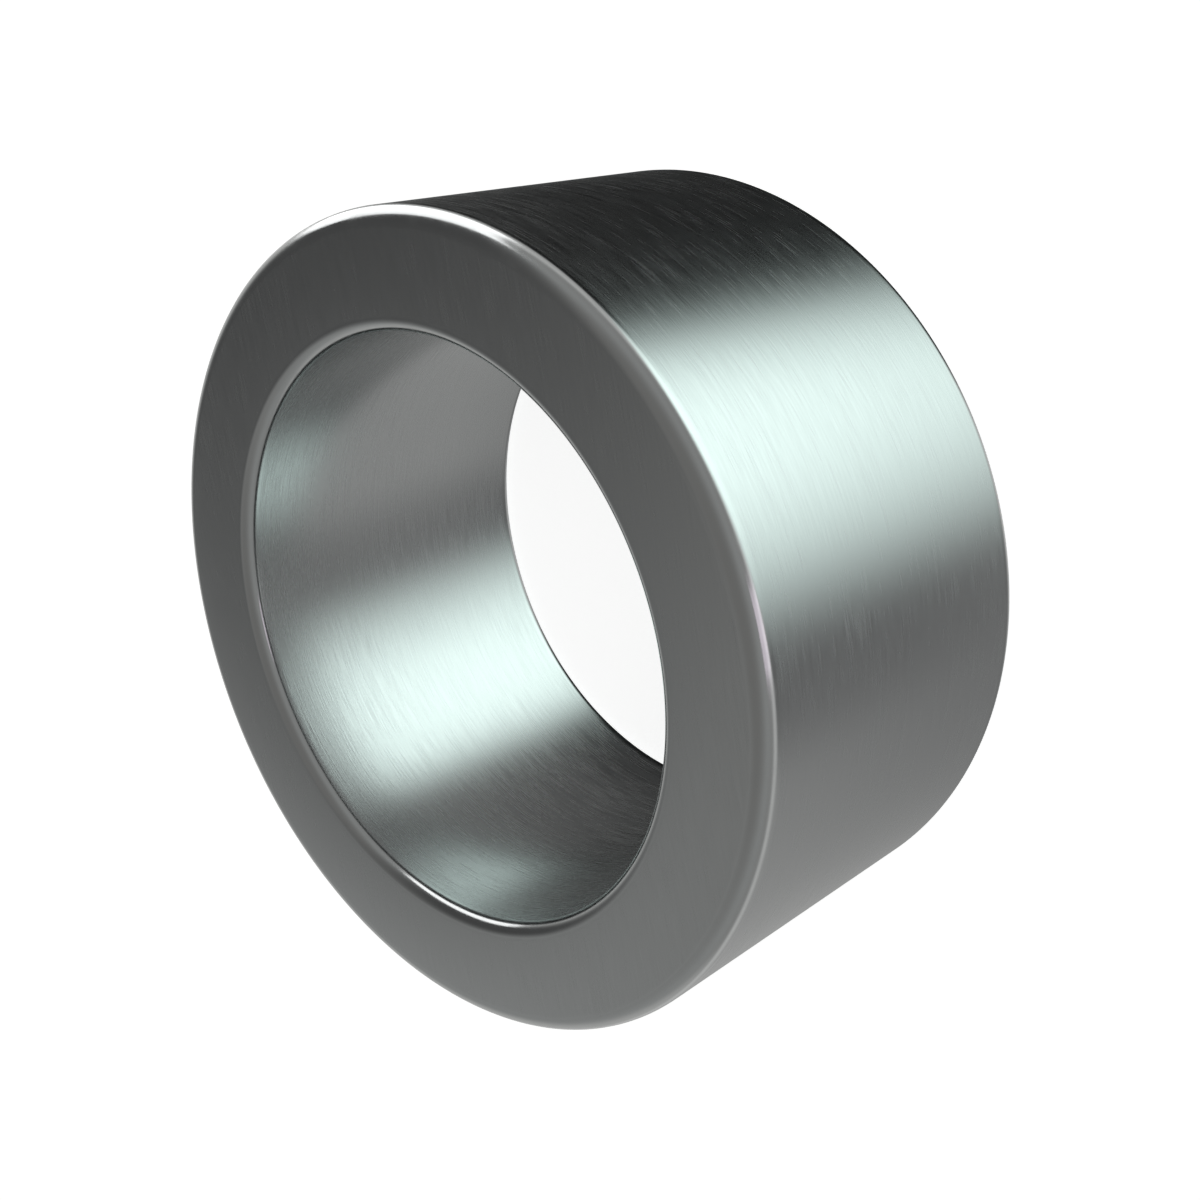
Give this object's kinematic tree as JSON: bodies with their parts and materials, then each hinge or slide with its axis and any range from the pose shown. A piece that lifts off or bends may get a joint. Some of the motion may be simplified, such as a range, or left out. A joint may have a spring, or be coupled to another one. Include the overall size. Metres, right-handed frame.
{
  "type": "spacer sleeve",
  "caption": "Short thick-walled round sleeve with a plain through bore, flat end faces and rounded edges, slipped over a bolt or shaft to hold parts a set distance apart.",
  "frame": {"origin": "centre of the end face that the sleeve stands on", "axes": "+Z along the bore, from the lower end face to the upper one; X and Y are any two square directions across the end face, as the sleeve is round"},
  "size_m": [0.025, 0.025, 0.012],
  "materials": {
    "steel": "satin bare metal, with fine grain round the outer wall and the bore, fine straight grain across the end faces, and smoother rounded edges"
  },
  "bodies": {
    "root": {"sleeve": "steel"}
  },
  "joints": []
}
